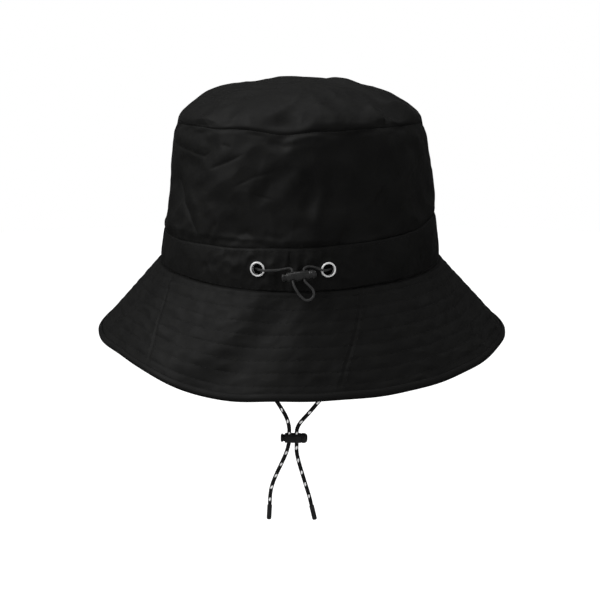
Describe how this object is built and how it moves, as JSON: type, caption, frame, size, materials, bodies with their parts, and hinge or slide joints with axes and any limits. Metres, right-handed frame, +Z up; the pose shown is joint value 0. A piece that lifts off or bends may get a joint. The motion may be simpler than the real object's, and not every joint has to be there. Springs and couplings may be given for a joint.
{
  "type": "bucket hat",
  "caption": "Packable bucket hat with a soft quilted brim, a drawcord and cord lock at the back, an adjustable chin cord, and a stow pocket with a snap hook.",
  "frame": {"origin": "centre of the head opening, in the plane of the seam that joins the crown to the brim", "axes": "+Z up through the crown, +Y to the front of the hat, +X to the left of a viewer who faces its front, so the drawcord lock at the back faces -Y"},
  "size_m": [0.2752, 0.2811, 0.3056],
  "materials": {
    "shell_nylon": "satin",
    "lining": "matte",
    "interlining": "matte",
    "label": "matte",
    "webbing": "matte",
    "braid": "matte",
    "lock_plastic": "matte",
    "spring_steel": "satin",
    "eyelet_metal": "satin",
    "dark_metal": "satin"
  },
  "bodies": {
    "hat": {"crown_top": "shell_nylon", "crown_side_back": "shell_nylon", "crown_side_front": "shell_nylon", "casing_band": "shell_nylon", "sweatband": "lining", "brim_top_back": "shell_nylon", "brim_top_front": "shell_nylon", "brim_interlining": "interlining", "brim_under_back": "shell_nylon", "brim_under_front": "shell_nylon", "brim_edge_binding": "shell_nylon", "eyelet_left": "eyelet_metal", "eyelet_right": "eyelet_metal", "eyelet_washer_left": "eyelet_metal", "eyelet_washer_right": "eyelet_metal", "drawcord_in_casing_left": "braid", "drawcord_in_casing_right": "braid", "drawcord_loop": "braid", "chin_anchor_left": "webbing", "chin_anchor_right": "webbing", "pocket_rear_panel": "lining", "pocket_front_panel": "lining", "snap_stud": "dark_metal", "snap_post": "dark_metal", "label_patch": "label"},
    "back_lock": {"back_lock_barrel": "lock_plastic", "back_lock_spring": "spring_steel"},
    "back_lock_button": {"back_lock_button": "lock_plastic"},
    "chin_cords": {"chin_cord_left": "braid", "chin_cord_right": "braid", "chin_cord_tip_left": "braid", "chin_cord_tip_right": "braid"},
    "chin_lock": {"chin_lock_barrel": "lock_plastic", "chin_lock_spring": "spring_steel"},
    "chin_lock_button": {"chin_lock_button": "lock_plastic"},
    "pocket_flap": {"pocket_flap": "lining", "snap_cap": "dark_metal", "snap_socket": "dark_metal"},
    "hook_strap": {"hook_strap": "webbing"},
    "swivel_eye": {"swivel_eye": "dark_metal"},
    "snap_hook": {"hook_body": "dark_metal", "gate_pin": "spring_steel"},
    "hook_gate": {"hook_gate": "dark_metal"}
  },
  "joints": [
    {"name": "back_lock_slide", "type": "slide", "parent": "hat", "child": "back_lock", "axis": [0.1, -0.6429, -0.7594], "range_m": [0, 0.012], "deforming": ["drawcord_loop"]},
    {"name": "back_lock_press", "type": "slide", "parent": "back_lock", "child": "back_lock_button", "axis": [0.9914, 0, 0.1305], "range_m": [0, 0.0014], "stiffness_N_per_m": 1500, "springref_m": -0.002, "deforming": ["back_lock_spring", "drawcord_loop"]},
    {"name": "chin_cord_swing", "type": "hinge", "parent": "hat", "child": "chin_cords", "pos_m": [0, 0, 0], "axis": [1, 0, 0], "range_deg": [-60, 60]},
    {"name": "chin_lock_slide", "type": "slide", "parent": "chin_cords", "child": "chin_lock", "axis": [0, 0, 1], "range_m": [-0.03, 0.055], "deforming": ["chin_cord_left", "chin_cord_right"]},
    {"name": "chin_lock_press", "type": "slide", "parent": "chin_lock", "child": "chin_lock_button", "axis": [1, 0, 0], "range_m": [0, 0.0014], "stiffness_N_per_m": 1500, "springref_m": -0.002, "deforming": ["chin_lock_spring", "chin_cord_left", "chin_cord_right"]},
    {"name": "pocket_flap_fold", "type": "hinge", "parent": "hat", "child": "pocket_flap", "pos_m": [0, 0.026, 0.083], "axis": [1, 0, 0], "range_deg": [0, 75]},
    {"name": "hook_strap_swing", "type": "hinge", "parent": "hat", "child": "hook_strap", "pos_m": [0, 0.082, 0.0805], "axis": [1, 0, 0], "range_deg": [-60, 3]},
    {"name": "swivel_eye_swing", "type": "hinge", "parent": "hook_strap", "child": "swivel_eye", "pos_m": [0, 0.082, 0.0561], "axis": [1, 0, 0], "range_deg": [-40, 3]},
    {"name": "hook_swivel", "type": "hinge", "parent": "swivel_eye", "child": "snap_hook", "pos_m": [0, 0.082, 0.0412], "axis": [0, 0, 1], "continuous": true},
    {"name": "hook_gate_press", "type": "hinge", "parent": "snap_hook", "child": "hook_gate", "pos_m": [0.0043, 0.082, 0.02506], "axis": [0, -1, 0], "range_deg": [0, 40], "stiffness_Nm_per_rad": 0.004, "springref_deg": -28.65}
  ]
}
